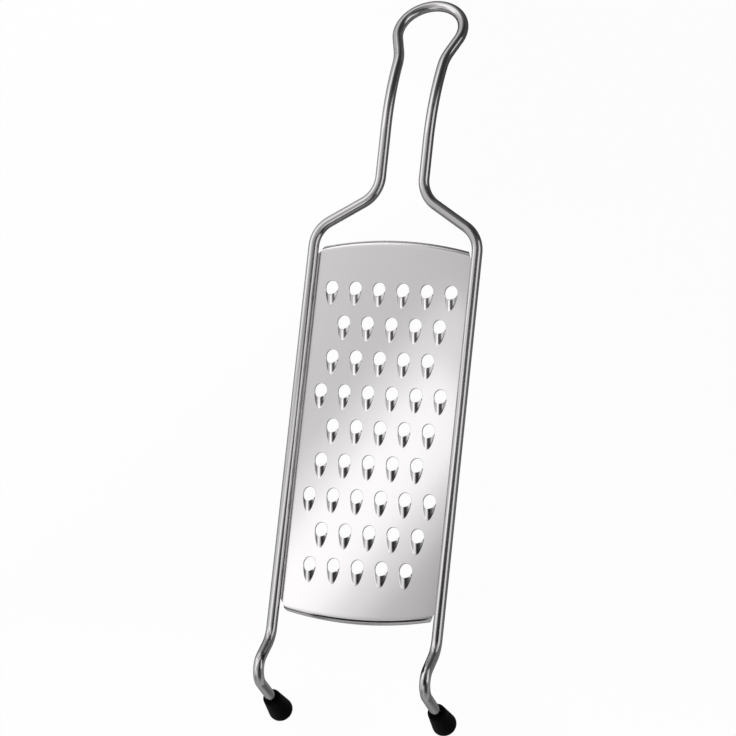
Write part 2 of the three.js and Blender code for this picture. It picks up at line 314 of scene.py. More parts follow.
class Nodes:
    """Short hand for building a node tree from left to right."""

    def __init__(self, tree):
        self.tree = tree

    def add(self, kind, values=None, **settings):
        """New node with its settings, then with links or plain values for its named inputs."""
        node = self.tree.nodes.new(kind)
        for key, value in settings.items():
            setattr(node, key, value)
        for name, value in (values or {}).items():
            self.feed(node.inputs[name], value)
        return node

    def out(self, kind, values=None, **settings):
        """First output of a new node."""
        return self.add(kind, values, **settings).outputs[0]

    def feed(self, socket, value):
        """Links a socket to an output, or sets it to a plain value."""
        if isinstance(value, bpy.types.NodeSocket):
            self.tree.links.new(value, socket)
        else:
            socket.default_value = value

    def math(self, operation, *values):
        node = self.add("ShaderNodeMath", operation=operation)
        for socket, value in zip(node.inputs, values):
            self.feed(socket, value)
        return node.outputs[0]

    def plus(self, first, second):
        return self.math("ADD", first, second)

    def minus(self, first, second):
        return self.math("SUBTRACT", first, second)

    def times(self, first, second):
        return self.math("MULTIPLY", first, second)

    def over(self, first, second):
        return self.math("DIVIDE", first, second)

    def same(self, first, second):
        """1 where two whole numbers are the same, with room for rounding."""
        return self.math("COMPARE", first, second, 0.1)

    def ramp(self, value, low, high, start=0.0, end=1.0):
        """Smooth step of a value from start at low to end at high."""
        node = self.add("ShaderNodeMapRange", interpolation_type="SMOOTHSTEP")
        for socket, number in zip(node.inputs, (value, low, high, start, end)):
            self.feed(socket, number)
        return node.outputs[0]

    def axes(self, vector):
        """X, Y and Z of a vector."""
        return self.add("ShaderNodeSeparateXYZ", {"Vector": vector}).outputs

    def vector(self, **axes):
        """Vector from its X, Y and Z."""
        return self.out("ShaderNodeCombineXYZ", axes)

    def place(self, kind="Object"):
        """Texture coordinates of one kind."""
        return self.add("ShaderNodeTexCoord").outputs[kind]

    def noise(self, vector, scale, detail):
        values = {"Vector": vector, "Scale": scale, "Detail": detail}
        return self.add("ShaderNodeTexNoise", values).outputs["Fac"]

    def grey(self, tone):
        """Colour of one tone."""
        return self.out("ShaderNodeCombineColor", {"Red": tone, "Green": tone, "Blue": tone})

    def ray(self, kind):
        """1 for light rays of one kind, and 0 for others."""
        return self.add("ShaderNodeLightPath").outputs["Is %s Ray" % kind]

    def shown(self):
        """1 for rays that come from the camera, straight or through something clear."""
        return self.math("MAXIMUM", self.ray("Camera"), self.ray("Transmission"))


def new_tree(name, inputs):
    """Geometry tree with named inputs and one output, a short hand for it, and what it is given."""
    tree = bpy.data.node_groups.new(name, "GeometryNodeTree")
    for label, kind in inputs.items():
        tree.interface.new_socket(label, in_out="INPUT", socket_type="NodeSocket" + kind)
    tree.interface.new_socket("Geometry", in_out="OUTPUT", socket_type="NodeSocketGeometry")
    nodes = Nodes(tree)
    return tree, nodes, nodes.add("NodeGroupInput").outputs


def end_tree(nodes, mesh, material):
    """Ends a tree in a plain mesh with its material."""
    mesh = nodes.out("GeometryNodeRealizeInstances", {"Geometry": mesh})
    mesh = nodes.out("GeometryNodeSetMaterial", {"Geometry": mesh, "Material": material})
    nodes.add("NodeGroupOutput", {"Geometry": mesh})


def add_tree(thing, tree, values):
    """Gives an object the tree as a modifier, with its inputs set before it is evaluated."""
    modifier = thing.modifiers.new(tree.name, "NODES")
    modifier.node_group = tree
    for item in tree.interface.items_tree:
        if item.item_type == "SOCKET" and item.in_out == "INPUT" and item.name in values:
            modifier[item.identifier] = values[item.name]


def wire_tree():
    """Round wire swept along an edge path, with its length and girth kept for the finish."""
    tree, nodes, given = new_tree("Bent Wire", {
        "Path": "Geometry",
        "Wire Radius": "Float",
        "Sides": "Int",
        "Finish": "Material",
    })

    def kept(curve, name, value):
        values = {"Geometry": curve, "Name": name, "Value": value}
        return nodes.out("GeometryNodeStoreNamedAttribute", values, data_type="FLOAT", domain="POINT")

    where = nodes.add("GeometryNodeSplineParameter").outputs
    path = nodes.out("GeometryNodeMeshToCurve", {"Mesh": given["Path"]})
    girth = {"Resolution": given["Sides"], "Radius": given["Wire Radius"]}
    ring = nodes.out("GeometryNodeCurvePrimitiveCircle", girth, mode="RADIUS")
    wire = nodes.out("GeometryNodeCurveToMesh", {
        "Curve": kept(path, "along", where["Length"]),
        "Profile Curve": kept(ring, "around", where["Factor"]),
        "Fill Caps": True,
    })
    wire = nodes.out("GeometryNodeSetShadeSmooth", {"Geometry": wire})
    end_tree(nodes, wire, given["Finish"])
    return tree


# Range of a noise that roughness follows
GRAIN_RANGE = (0.3, 0.7)
# Wire: its edge's colour, and drawing lines around it and along each metre
WIRE_EDGE = (0.55, 0.55, 0.55, 1)
LINES_AROUND = 12.0
LINES_ALONG = 18.0
# Sheet: how its grain is drawn out, and the grain's share beside a soft cloud
SHEET_STRETCH = (1.0, 0.12, 1.0)
SHEET_GRAIN = 0.7
# Rubber: its specular level, and how much paler its grain is
RUBBER_SPECULAR = 0.03
RUBBER_DUST = 1.7


def new_material(name, values):
    """Material with one principled shader, its constant inputs, and a short hand for its nodes."""
    material = bpy.data.materials.new(name)
    material.use_nodes = True
    shader = material.node_tree.nodes["Principled BSDF"]
    for socket, value in values.items():
        shader.inputs[socket].default_value = value
    return material, Nodes(material.node_tree), shader


def add_grain(nodes, shader, grain, cloud, roughness, spread, strength, depth):
    """Roughness that follows one noise, and fine relief from another."""
    low, high = (roughness * part for part in spread)
    nodes.feed(shader.inputs["Roughness"], nodes.ramp(cloud, *GRAIN_RANGE, low, high))
    relief = {"Strength": strength, "Distance": depth, "Height": grain}
    nodes.feed(shader.inputs["Normal"], nodes.out("ShaderNodeBump", relief))


def polished_wire(finish):
    """Polished drawn steel: a clean mirror with faint drawing lines along the wire."""
    material, nodes, shader = new_material("polished_drawn_wire", {
        "Base Color": (*finish.wire_tint, 1),
        "Metallic": 1.0,
        "Specular Tint": WIRE_EDGE,
    })
    along = nodes.add("ShaderNodeAttribute", attribute_name="along").outputs["Fac"]
    around = nodes.add("ShaderNodeAttribute", attribute_name="around").outputs["Fac"]
    angle = nodes.times(around, 2 * math.pi)
    lines = nodes.vector(X=nodes.times(nodes.math("COSINE", angle), LINES_AROUND),
                         Y=nodes.times(nodes.math("SINE", angle), LINES_AROUND),
                         Z=nodes.times(along, LINES_ALONG))
    grain = nodes.noise(lines, scale=1.0, detail=3.0)
    add_grain(nodes, shader, grain, grain, finish.wire_roughness,
              spread=(0.8, 1.25), strength=0.02, depth=0.0002)
    return material


def satin_plate(finish):
    """Satin sheet steel: fine even grain with the faint cloud of a rolled surface."""
    material, nodes, shader = new_material("satin_sheet_steel", {
        "Base Color": (*finish.plate_tint, 1),
        "Metallic": 1.0,
    })
    place = nodes.place()
    stretched = nodes.out("ShaderNodeMapping", {"Vector": place, "Scale": SHEET_STRETCH})
    grain = nodes.noise(stretched, scale=5200.0, detail=2.0)
    cloud = nodes.noise(place, scale=60.0, detail=2.0)
    mixed = nodes.plus(nodes.times(grain, SHEET_GRAIN), nodes.times(cloud, 1 - SHEET_GRAIN))
    add_grain(nodes, shader, grain, mixed, finish.plate_roughness,
              spread=(0.9, 1.1), strength=0.03, depth=0.0001)
    return material


def black_rubber(finish):
    """Matte moulded rubber with a fine even grain."""
    material, nodes, shader = new_material("black_moulded_rubber", {
        "Specular IOR Level": RUBBER_SPECULAR,
    })
    grain = nodes.noise(nodes.place(), scale=2600.0, detail=3.0)
    dust = nodes.add("ShaderNodeMix", {
        "Factor": grain,
        "A": (*finish.rubber_tint, 1),
        "B": (*[part * RUBBER_DUST for part in finish.rubber_tint], 1),
    }, data_type="RGBA")
    nodes.feed(shader.inputs["Base Color"], dust.outputs["Result"])
    add_grain(nodes, shader, grain, grain, finish.rubber_roughness,
              spread=(0.9, 1.12), strength=0.12, depth=0.0002)
    return material


class GRATER_OT_wire_frame(Operator):
    """Sweeps the round wire along the handle loop, the rails and the legs"""

    bl_idname = "grater.wire_frame"
    bl_label = "Wire Frame"

    def execute(self, context):
        scene = context.scene
        layout = WireLayout(scene.grater_wire, scene.grater_feet)
        stations = layout.path()
        edges = [(i, i + 1) for i in range(len(stations) - 1)]
        wire = new_object("bent_wire", stations, edges=edges)
        add_tree(wire, wire_tree(), {
            "Wire Radius": layout.radius,
            "Sides": scene.grater_wire.sides,
            "Finish": polished_wire(scene.grater_finish),
        })
        settle(wire, "bent_wire", CREASE)
        carry(wire, "wire_frame")
        return {"FINISHED"}


# Rows come in threes, a full one and two short ones set over by sixths of the pitch
ROW_CYCLE = 3
SHIFT_PARTS = 6
ROW_SHIFTS = (0, 1, -1)
# A tooth's cell: steps across and down it, edges of its hole for each step, and its top
CELL_ACROSS = 6
CELL_DOWN = 8
CELL_SPLIT = 3
CELL_RAYS = 2 * (CELL_ACROSS + CELL_DOWN) * CELL_SPLIT
CELL_TOP = 0.006
# Rays from below the row's line to the edges of the hole and the scoop
RAY_START = -0.003
RAY_REACH = 0.02
RAY_HALVINGS = 40
RAY_SAMPLES = 20
# Shares of a scoop's half width where its fillet starts and lands, and the power that width grows by
SCOOP_FILLET = 0.95
SCOOP_LANDING = 1 / SCOOP_FILLET
LEAF_POWER = 0.45
# Where the scoop fades out and the rim grows round, the cutting edge's share of that, and its reach
SCOOP_FADE = (-0.0038, -0.001)
RIM_FADE = (-0.003, -0.0005)
CUTTING_ROUND = 0.15
RIM_REACH = 1.3
# Rings of faces on the rim, from hole to base in front and behind, and past the base
RIM_RINGS = 2
FRONT_RINGS = (0.15, 0.3, 0.45, 0.58, 0.7, 0.8, 0.9, 1.0)
BACK_RINGS = (0.25, 0.5, 0.75, 1.0)
OUTER_RINGS = (0.0003, 0.0005)
# Gaps at the sheet's edge and beside the cells in steps, and columns and rounds that fit the edge
EDGE_GAP = 0.4
CELL_SLACK = 0.1
EDGE_COLUMNS = 3
EDGE_ROUNDS = 8
# Rows of faces on the flat, the bend and the lip of each end
FLAT_STEPS = 8
LAST_FLAT = 0.92
BEND_STEPS = 12
LIP_STEPS = 3
# Points closer than this become one
WELD_DISTANCE = 0.00002


def smooth_step(value, low, high):
    """Share of the way from low to high, with soft ends."""
    part = min(1.0, max(0.0, (value - low) / (high - low)))
    return part * part * (3 - 2 * part)


class PlateLayout:
    """Outline, lips and teeth of the plate, measured from its middle on the front face."""

    def __init__(self, plate, wire):
        self.plate = plate
        self.step = plate.tooth_pitch / CELL_ACROSS
        reach = math.sqrt((wire.diameter / 2) ** 2 - plate.setback ** 2)
        self.half_width = wire.rail_spacing / 2 - reach
        self.crown_radius = (self.half_width ** 2 + plate.crown ** 2) / (2 * plate.crown)
        run = plate.lip_bend * math.sin(plate.lip_angle) + plate.lip_length * math.cos(plate.lip_angle)
        self.bend_y = PLATE_END_Y - run
        self.first_row_y = plate.pattern_shift + (plate.rows - 1) / 2 * plate.row_pitch
        self.top_y = self.first_row_y + CELL_TOP
        self.bottom_y = self.top_y - plate.rows * plate.row_pitch
        self.relief_y = PLATE_END_Y - self.end_fall(self.half_width) - plate.relief_inset
        self.tip_y = plate.mouth_top - plate.tooth_length
        self.mouth_middle = plate.mouth_top - plate.mouth_length / 2
        self.ridge_slope = plate.tooth_rise / (plate.tooth_length - plate.mouth_length)

    def end_fall(self, x):
        """How far the curved ends fall back at a distance from the plate's middle."""
        radius = self.plate.end_radius
        return radius - math.sqrt(radius ** 2 - x ** 2)

    def edge_x(self, y):
        """Half width of the sheet at a distance along it, with the corner reliefs taken off."""
        radius = self.plate.relief_radius
        off = abs(y) - self.relief_y
        if off <= -radius:
            return self.half_width
        return self.half_width - math.sqrt(radius ** 2 - min(0.0, off) ** 2)

    def tooth_half_width(self, y):
        """Half width of the scoop where it meets the sheet: a blunt leaf with its point at the tip."""
        along = max(0.0, y - self.tip_y)
        return self.plate.tooth_spread * along ** LEAF_POWER

    def tooth_height(self, x, y):
        """Height of the pressed scoop over the sheet, around its hole's centre."""
        width = self.tooth_half_width(y)
        if width <= 0:
            return 0.0
        part = abs(x) / width
        fade = 1 - smooth_step(y, *SCOOP_FADE)
        return self.ridge_slope * (y - self.tip_y) * scoop_section(part) * fade

    def columns(self):
        """Places across the sheet that the cells' corners share, out to its edges."""
        reach = int(self.half_width / self.step - EDGE_GAP)
        inner = [i * self.step for i in range(-reach, reach + 1)]
        return [-self.half_width, *inner, self.half_width]


def scoop_section(part):
    """Section across a scoop: a parabola that lands on the sheet in a fillet."""
    if part <= SCOOP_FILLET:
        return 1 - part ** 2
    if part >= SCOOP_LANDING:
        return 0.0
    left = (SCOOP_LANDING - part) / (SCOOP_LANDING - SCOOP_FILLET)
    return (1 - SCOOP_FILLET ** 2) * left ** 2


def ray_hit(inside, way):
    """Distance along a ray from the cell's centre to the edge of a convex shape."""
    low, high = 0.0, RAY_REACH
    for _ in range(RAY_HALVINGS):
        middle = (low + high) / 2
        if inside(way[0] * middle, RAY_START + way[1] * middle):
            low = middle
        else:
            high = middle
    return low


def even_rays(inside, number):
    """Rays that cut a shape's edge into even lengths, clockwise from its top."""
    fine = []
    for i in range(number * RAY_SAMPLES + 1):
        angle = 2 * math.pi * i / (number * RAY_SAMPLES)
        way = (math.sin(angle), math.cos(angle))
        reach = ray_hit(inside, way)
        fine.append((way[0] * reach, way[1] * reach))
    lengths = [0.0]
    for start, end in zip(fine, fine[1:]):
        lengths.append(lengths[-1] + math.dist(start, end))
    rays = []
    i = 0
    for k in range(number):
        goal = lengths[-1] * k / number
        while lengths[i + 1] < goal:
            i += 1
        part = (goal - lengths[i]) / (lengths[i + 1] - lengths[i])
        x = fine[i][0] + (fine[i + 1][0] - fine[i][0]) * part
        y = fine[i][1] + (fine[i + 1][1] - fine[i][1]) * part
        rays.append((x / math.hypot(x, y), y / math.hypot(x, y)))
    return rays


class Shell:
    """Points and faces of a sheet with a front, a back and walls between them."""

    def __init__(self):
        self.points = []
        self.faces = []

    def add(self, points):
        """Adds a row of points and gives their numbers."""
        start = len(self.points)
        self.points.extend(points)
        return list(range(start, start + len(points)))

    def strip(self, low, high, closed=False):
        """Faces between two rows of points of the same length."""
        number = len(low)
        for i in range(number if closed else number - 1):
            j = (i + 1) % number
            self.faces.append((low[i], high[i], high[j], low[j]))

    def sheet(self, front, back, left=False, right=False, end=False):
        """Front and back grids, with walls along the free edges."""
        front = [self.add(row) for row in front]
        back = [self.add(row) for row in back]
        for i in range(len(front) - 1):
            self.strip(front[i], front[i + 1])
            self.strip(back[i + 1], back[i])
        if left:
            self.strip([row[0] for row in front], [row[0] for row in back])
        if right:
            self.strip([row[-1] for row in back], [row[-1] for row in front])
        if end:
            self.strip(front[-1], back[-1])

    def made(self, name):
        """Mesh object of all that was added."""
        return new_object(name, self.points, self.faces)


def cell_border(plate):
    """Corners of the cell's lattice, clockwise from the middle of its top."""
    half = plate.tooth_pitch / 2
    top, bottom = CELL_TOP, CELL_TOP - plate.row_pitch
    across = [plate.tooth_pitch * i / CELL_ACROSS for i in range(CELL_ACROSS)]
    down = [plate.row_pitch * i / CELL_DOWN for i in range(CELL_DOWN)]
    border = [(x - half, top) for x in across] + [(half, top - y) for y in down]
    border += [(half - x, bottom) for x in across] + [(-half, bottom + y) for y in down]
    start = CELL_ACROSS // 2
    return border[start:] + border[:start]


def tooth_cell(layout):
    """Sheet around one hole: its rounded rim, the scoop below it and the flat out to a lattice cell."""
    plate = layout.plate

    def in_mouth(x, y):
        return math.hypot(x / plate.mouth_width, (y - layout.mouth_middle) / plate.mouth_length) < 0.5

    def in_base(x, y):
        around = math.hypot(x, y) < plate.mouth_width / 2 + plate.rim_round * RIM_REACH
        return around or (y < 0 and abs(x) < layout.tooth_half_width(y) * SCOOP_LANDING)

    rays = even_rays(in_base, CELL_RAYS)
    mouth = [ray_hit(in_mouth, way) for way in rays]
    base = [ray_hit(in_base, way) for way in rays]
    shell = Shell()

    def ring(part, push, rim, depth):
        """Points a share of the way from mouth to base, then pushed on, with the rim's drop."""
        row = []
        for way, start, end in zip(rays, mouth, base):
            edge_y = RAY_START + way[1] * start
            kept = CUTTING_ROUND + (1 - CUTTING_ROUND) * smooth_step(edge_y, *RIM_FADE)
            rounding = plate.rim_round * kept
            lead = rounding if part > 0 else rounding * rim[0]
            reach = start + lead + (end - start - rounding) * part + push
            x, y = way[0] * reach, RAY_START + way[1] * reach
            row.append((x, y, layout.tooth_height(x, y) - rounding * rim[1] - depth))
        return shell.add(row)

    flat = (1.0, 0.0)
    angles = [QUARTER_TURN * i / RIM_RINGS for i in range(RIM_RINGS + 1)]
    front = [ring(0.0, 0.0, (1 - math.cos(angle), 1 - math.sin(angle)), 0.0) for angle in angles]
    front += [ring(part, 0.0, flat, 0.0) for part in FRONT_RINGS]
    front += [ring(1.0, push, flat, 0.0) for push in OUTER_RINGS]
    back = [ring(0.0, 0.0, (0.0, 0.0), plate.thickness)]
    back += [ring(part, 0.0, flat, plate.thickness) for part in BACK_RINGS]
    back += [ring(1.0, push, flat, plate.thickness) for push in OUTER_RINGS]
    for low, high in zip(front, front[1:]):
        shell.strip(high, low, closed=True)
    for low, high in zip(back, back[1:]):
        shell.strip(low, high, closed=True)
    shell.strip(front[0], back[0], closed=True)
    border = cell_border(plate)
    for inner, depth, under in ((front[-1], 0.0, False), (back[-1], plate.thickness, True)):
        outer = shell.add([(x, y, -depth) for x, y in border])
        for k, corner in enumerate(outer):
            inside = [inner[(k * CELL_SPLIT + i) % CELL_RAYS] for i in range(CELL_SPLIT + 1)]
            ahead = outer[(k + 1) % len(outer)]
            fan = [(corner, inside[0], inside[1]), (corner, inside[1], inside[2]),
                   (corner, inside[2], ahead), (ahead, inside[2], inside[3])]
            shell.faces += [face[::-1] for face in fan] if under else fan
    return shell.made("tooth_cell")


def plate_margins(layout):
    """Plain sheet beside the rows of teeth, and the two curved ends with their lips."""
    plate = layout.plate
    columns = layout.columns()
    shell = Shell()
    slack = layout.step * CELL_SLACK
    for row in range(plate.rows):
        phase = row % ROW_CYCLE
        teeth = plate.full_row - (1 if phase else 0)
        shift = plate.tooth_pitch / SHIFT_PARTS * ROW_SHIFTS[phase]
        half = teeth * plate.tooth_pitch / 2
        top = layout.top_y - row * plate.row_pitch
        places = [top - plate.row_pitch * i / CELL_DOWN for i in range(CELL_DOWN + 1)]
        left = [x for x in columns if x < shift - half + slack]
        right = [x for x in columns if x > shift + half - slack]
        for span in (left, right):
            shell.sheet([[(x, y, 0.0) for x in span] for y in places],
                        [[(x, y, -plate.thickness) for x in span] for y in places],
                        left=span is left, right=span is right)
    for side in (1, -1):
        front, back = plate_end(layout, columns, side)
        if side > 0:
            front = [row[::-1] for row in front]
            back = [row[::-1] for row in back]
        shell.sheet(front, back, left=True, right=True, end=True)
    return shell.made("pressed_plate")


def plate_end(layout, columns, side):
    """Front and back rows of one curved end, from the last cells to the lip's edge."""
    plate = layout.plate
    kept = columns[-1 - EDGE_COLUMNS]
    front, back = [], []
    for shape in end_stations(plate):
        edge = layout.half_width
        for _ in range(EDGE_ROUNDS):
            y, drop = end_point(layout, side, shape, edge, 0.0)
            edge = layout.edge_x(y) + plate.lip_taper * drop
        across = []
        for x in columns:
            out = abs(x)
            if out > kept:
                out = kept + (out - kept) * (edge - kept) / (layout.half_width - kept)
            across.append(math.copysign(out, x))
        front.append([(x, *end_point(layout, side, shape, x, 0.0)) for x in across])
        back.append([(x, *end_point(layout, side, shape, x, plate.thickness)) for x in across])
    return front, back


def end_stations(plate):
    """Rows from the last cell to the lip's edge: (share of the flat, bend angle, lip length)."""
    flat = [(i / FLAT_STEPS, 0.0, 0.0) for i in range(FLAT_STEPS - 1)] + [(LAST_FLAT, 0.0, 0.0)]
    bend = [(1.0, plate.lip_angle * i / BEND_STEPS, 0.0) for i in range(BEND_STEPS + 1)]
    lip = [(1.0, plate.lip_angle, plate.lip_length * i / LIP_STEPS) for i in range(1, LIP_STEPS + 1)]
    return flat + bend + lip


def end_point(layout, side, shape, x, depth):
    """Place along the sheet and height of one station of a curved end, at a depth in the sheet."""
    part, angle, lip = shape
    start = layout.top_y if side > 0 else layout.bottom_y
    bend = side * (layout.bend_y - layout.end_fall(x))
    outer = layout.plate.lip_bend
    radius = outer - depth
    lip *= 1 - layout.plate.lip_fade * (x / layout.half_width) ** 2
    y = start + (bend - start) * part + side * (radius * math.sin(angle) + lip * math.cos(angle))
    return y, radius * math.cos(angle) - outer - lip * math.sin(angle)


def plate_tree():
    """Sets the tooth cells out in staggered rows, joins them to the sheet and crowns it."""
    tree, nodes, given = new_tree("Pressed Plate", {
        "Sheet": "Geometry",
        "Tooth Cell": "Object",
        "Rows": "Int",
        "Full Row": "Int",
        "Row Pitch": "Float",
        "Tooth Pitch": "Float",
        "First Row": "Float",
        "Crown": "Float",
        "Crown Radius": "Float",
        "Place": "Vector",
        "Finish": "Material",
    })
    index = nodes.out("GeometryNodeInputIndex")
    row = nodes.math("FLOOR", nodes.over(index, given["Full Row"]))
    column = nodes.minus(index, nodes.times(row, given["Full Row"]))
    phase = nodes.math("MODULO", row, ROW_CYCLE)
    short = nodes.math("GREATER_THAN", phase, 0.5)
    side = nodes.minus(nodes.same(phase, 1), nodes.same(phase, 2))
    last = nodes.minus(given["Full Row"], 1)
    middle = nodes.over(nodes.minus(last, short), 2)
    steps = nodes.plus(nodes.minus(column, middle), nodes.over(side, SHIFT_PARTS))
    down = nodes.times(row, given["Row Pitch"])
    points = nodes.out("GeometryNodePoints", {
        "Count": nodes.times(given["Rows"], given["Full Row"]),
        "Position": nodes.vector(X=nodes.times(steps, given["Tooth Pitch"]),
                                 Y=nodes.minus(given["First Row"], down)),
    })
    spare = nodes.times(short, nodes.same(column, last))
    spare = {"Geometry": points, "Selection": spare}
    points = nodes.out("GeometryNodeDeleteGeometry", spare, domain="POINT")
    cell = {"Object": given["Tooth Cell"]}
    cell = nodes.add("GeometryNodeObjectInfo", cell, transform_space="ORIGINAL").outputs["Geometry"]
    teeth = nodes.out("GeometryNodeInstanceOnPoints", {"Points": points, "Instance": cell})
    teeth = nodes.out("GeometryNodeRealizeInstances", {"Geometry": teeth})
    both = nodes.add("GeometryNodeJoinGeometry")
    for part in (teeth, given["Sheet"]):
        nodes.feed(both.inputs["Geometry"], part)
    welded = {"Geometry": both.outputs["Geometry"], "Distance": WELD_DISTANCE}
    plate = nodes.out("GeometryNodeMergeByDistance", welded)
    across = nodes.axes(nodes.out("GeometryNodeInputPosition"))["X"]
    squares = nodes.minus(nodes.math("POWER", given["Crown Radius"], 2),
                          nodes.math("POWER", across, 2))
    drop = nodes.minus(given["Crown Radius"], nodes.math("SQRT", squares))
    x, y, z = nodes.axes(given["Place"])
    offset = nodes.vector(X=x, Y=y, Z=nodes.plus(z, nodes.minus(given["Crown"], drop)))
    plate = nodes.out("GeometryNodeSetPosition", {"Geometry": plate, "Offset": offset})
    end_tree(nodes, plate, given["Finish"])
    return tree


class GRATER_OT_grating_plate(Operator):
    """Presses the crowned plate with its scoop teeth and turned-back lips"""

    bl_idname = "grater.grating_plate"
    bl_label = "Grating Plate"

    def execute(self, context):
        scene = context.scene
        sizes = scene.grater_plate
        layout = PlateLayout(sizes, scene.grater_wire)
        wire = WireLayout(scene.grater_wire, scene.grater_feet)
        cell = tooth_cell(layout)
        plate = plate_margins(layout)
        add_tree(plate, plate_tree(), {
            "Tooth Cell": cell,
            "Rows": sizes.rows,
            "Full Row": sizes.full_row,
            "Row Pitch": sizes.row_pitch,
            "Tooth Pitch": sizes.tooth_pitch,
            "First Row": layout.first_row_y,
            "Crown": sizes.crown,
            "Crown Radius": layout.crown_radius,
            "Place": (0.0, PLATE_MIDDLE_Y, wire.stand - sizes.setback),
            "Finish": satin_plate(scene.grater_finish),
        })
        settle(plate, "pressed_plate", PLATE_CREASE)
        bpy.data.objects.remove(cell)
        carry(plate, "grating_plate")
        return {"FINISHED"}


# Faces along a foot's end, side and rim, and the ring on its flat end
FOOT_END_STEPS = 14
FOOT_SIDE_STEPS = 8
FOOT_RIM_STEPS = 8
FOOT_END_RING = 0.6
# Width and depths of the bore's flared mouth
FLARE_WIDTH = 0.00025
FLARE_START = 0.00005
FLARE_END = 0.0004


def foot_profile(feet, bore):
    """Radius and distance from the mouth, from the end's centre round to the bore's floor."""
    end = feet.end_diameter / 2
    mouth = feet.mouth_diameter / 2
    flat = end - feet.end_round
    taper = math.atan2(end - mouth, feet.length - feet.end_round - feet.rim_round)

    def arc(out, depth, radius, start, stop, steps):
        """Points on a rounding about a centre, from one angle to another."""
        angles = [start + (stop - start) * i / steps for i in range(steps + 1)]
        return [(out + radius * math.cos(angle), depth - radius * math.sin(angle)) for angle in angles]

    outline = [(0.0, feet.length), (flat * FOOT_END_RING, feet.length)]
    outline += arc(flat, feet.length - feet.end_round, feet.end_round,
                   -QUARTER_TURN, taper, FOOT_END_STEPS)
    rim = arc(mouth - feet.rim_round, feet.rim_round, feet.rim_round,
              taper, QUARTER_TURN, FOOT_RIM_STEPS)
    low, high = outline[-1], rim[0]
    for i in range(1, FOOT_SIDE_STEPS):
        part = i / FOOT_SIDE_STEPS
        outline.append((low[0] + (high[0] - low[0]) * part, low[1] + (high[1] - low[1]) * part))
    flare = [(bore + FLARE_WIDTH, FLARE_START), (bore, FLARE_END)]
    return outline + rim + flare + [(bore, feet.bore_depth), (0.0, feet.bore_depth)]


def turned(name, profile, sides, matrix):
    """Solid of revolution about -Y of its own frame, then put in place."""
    points, faces = [], []
    rings = []
    for radius, depth in profile:
        ring = []
        for i in range(sides if radius > 0 else 1):
            angle = 2 * math.pi * i / sides
            points.append(matrix @ Vector((radius * math.sin(angle), -depth, radius * math.cos(angle))))
            ring.append(len(points) - 1)
        rings.append(ring)
    for low, high in zip(rings, rings[1:]):
        for i in range(sides):
            j = (i + 1) % sides
            corners = [low[i % len(low)], low[j % len(low)], high[j % len(high)], high[i % len(high)]]
            faces.append(list(dict.fromkeys(corners)))
    return new_object(name, points, faces)


class GRATER_OT_rubber_feet(Operator):
    """Moulds the two tapered rubber caps on the wire's ends"""

    bl_idname = "grater.rubber_feet"
    bl_label = "Rubber Feet"

    def execute(self, context):
        scene = context.scene
        feet = scene.grater_feet
        layout = WireLayout(scene.grater_wire, feet)
        material = black_rubber(scene.grater_finish)
        for side, node in ((-1, "foot_cap_left"), (1, "foot_cap_right")):
            mouth = layout.knee + layout.foot_way * layout.mouth_reach
            mouth = layout.placed(Vector((side * mouth.x, mouth.y, mouth.z)))
            lean = Vector((0, -1, 0)).rotation_difference(layout.foot_way)
            matrix = Matrix.Translation(mouth) @ lean.to_matrix().to_4x4()
            cap = turned("rubber_" + node, foot_profile(feet, layout.radius), feet.sides, matrix)
            cap.data.materials.append(material)
            smoothed(cap.data, CREASE)
            carry(cap, node)
        return {"FINISHED"}


# Painted light and shade on the floor, which metal mirrors: lighter to the left, darker to the back
# right, lighter left and darker right of the handle, and lighter in front, each as (from, to, first tone,
# last tone)
FLOOR_TONE = 0.32
PAINTED_LIGHT_LEFT = (0.05, 0.13, 0.0, 0.52)
PAINTED_SHADE_BACK_RIGHT = (0.08, 0.27, 1.0, 0.09)
HANDLE_PAINTED_LIGHT_AND_SHADE = (-0.012, 0.02, 1.15, 0.2)
HANDLE_START = (0.075, 0.10)
PAINTED_LIGHT_FRONT = (-0.20, -0.13, 0.58, 0.0)
FLOOR_GAP = 0.0002
PAPER_ROUGHNESS = 0.9
# Painted shade on the floor right of the feet, as (left, right, low, high, softness) and strength
PAINTED_SHADE_BY_FEET = (
    ((-0.036, -0.004, -0.28, -0.19, 0.014), 0.8),
    ((0.064, 0.11, -0.26, -0.19, 0.014), 0.7),
)
# The room's light from left to right, its white, and its dark and soft parts, in degrees from straight up
ROOM_LIGHT = (-45, 25, 0.80, 0.36)
ROOM_WHITE = 0.99
LEAST_LEAN = 0.001
DARK_CORNERS = (
    ((12, 150, 32, 150, 10), 0.85),
    ((14, 75, -60, -12, 8), 0.8),
    ((-18, 14, 26, 95, 6), 0.55),
    ((-90, -33, -95, -40, 8), 0.55),
)
SOFT_CORNERS = (
    ((-70, -8, 8, 40, 8), 0.28),
    ((-36, -8, -42, -16, 6), 0.35),
    ((-75, -26, -8, 22, 4), 0.08),
)
# Lamps: place, facing, way of the length, width, length and power
DOWN = (0.0, 0.0, -1.0)
LEFT = (-1.0, 0.0, 0.0)
AHEAD = (0.0, 1.0, 0.0)
SLANTED = (0.70, 0.714, 0.0)
LAMPS = {
    "plate_strip": ((-0.117, -0.130, 0.18), DOWN, SLANTED, 0.06, 0.364, 0.032),
    "plate_spill": ((-0.105, -0.117, 0.181), DOWN, SLANTED, 0.11, 0.40, 0.048),
    "lip_panel": ((-0.23, 0.335, 0.34), DOWN, AHEAD, 0.20, 0.23, 0.108),
    "key_panel": ((-0.78, 0.265, 0.34), DOWN, AHEAD, 0.9, 0.37, 0.66),
    "loop_panel": ((-0.28, 0.70, 0.34), DOWN, AHEAD, 0.44, 0.50, 0.52),
    "right_panel": ((0.46, 0.09, 0.245), LEFT, AHEAD, 0.41, 0.58, 0.633),
}
